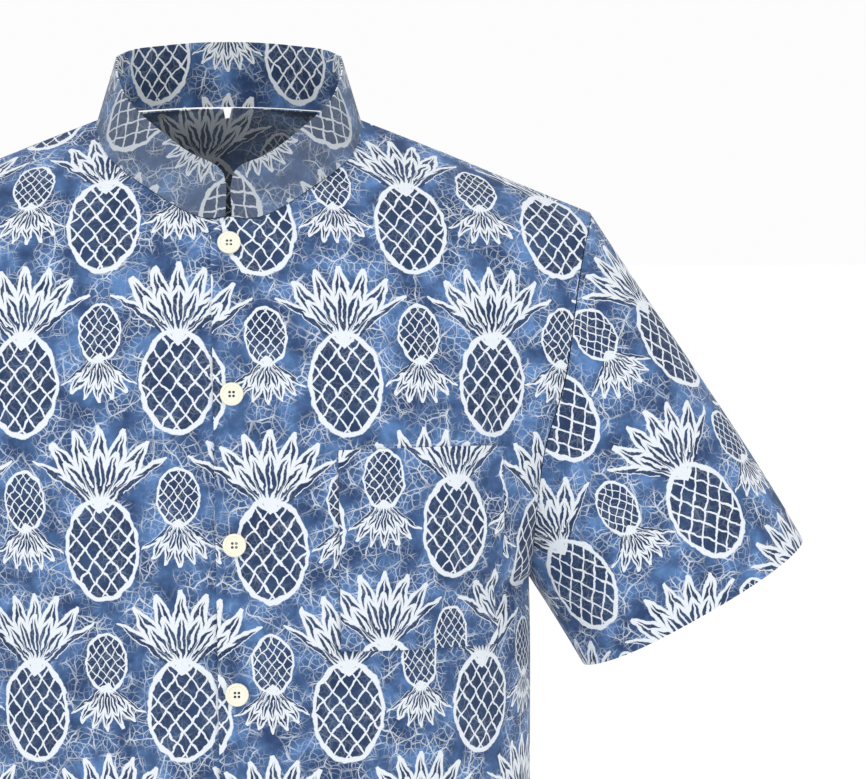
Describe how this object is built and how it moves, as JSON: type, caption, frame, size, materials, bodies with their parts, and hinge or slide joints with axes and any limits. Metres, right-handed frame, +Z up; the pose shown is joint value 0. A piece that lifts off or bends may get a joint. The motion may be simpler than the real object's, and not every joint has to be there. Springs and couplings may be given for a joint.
{
  "type": "short-sleeved batik shirt",
  "caption": "Hollow short-sleeved blue and white batik shirt, filled out as worn, with a stand collar, a buttoned front and a patch pocket.",
  "frame": {"origin": "inside the neck, midway between the neck ends of the two shoulder seams and level with them, where the wearer's neck and shoulders carry the shirt", "axes": "+Z up, +X towards the wearer's left, the buttoned front towards -Y"},
  "size_m": [0.7602, 0.2532, 0.8107],
  "materials": {
    "batik_cotton": "matt plain-woven cotton, wax-resist dyed in blues with fine white crackle lines",
    "button": "cream, softly polished"
  },
  "bodies": {
    "root": {"front_left": "batik_cotton", "front_right": "batik_cotton", "back": "batik_cotton", "sleeve_left": "batik_cotton", "sleeve_right": "batik_cotton", "collar": "batik_cotton", "pocket": "batik_cotton", "button_1": "button", "button_2": "button", "button_3": "button", "button_4": "button", "button_5": "button", "button_6": "button", "button_7": "button"}
  },
  "joints": []
}
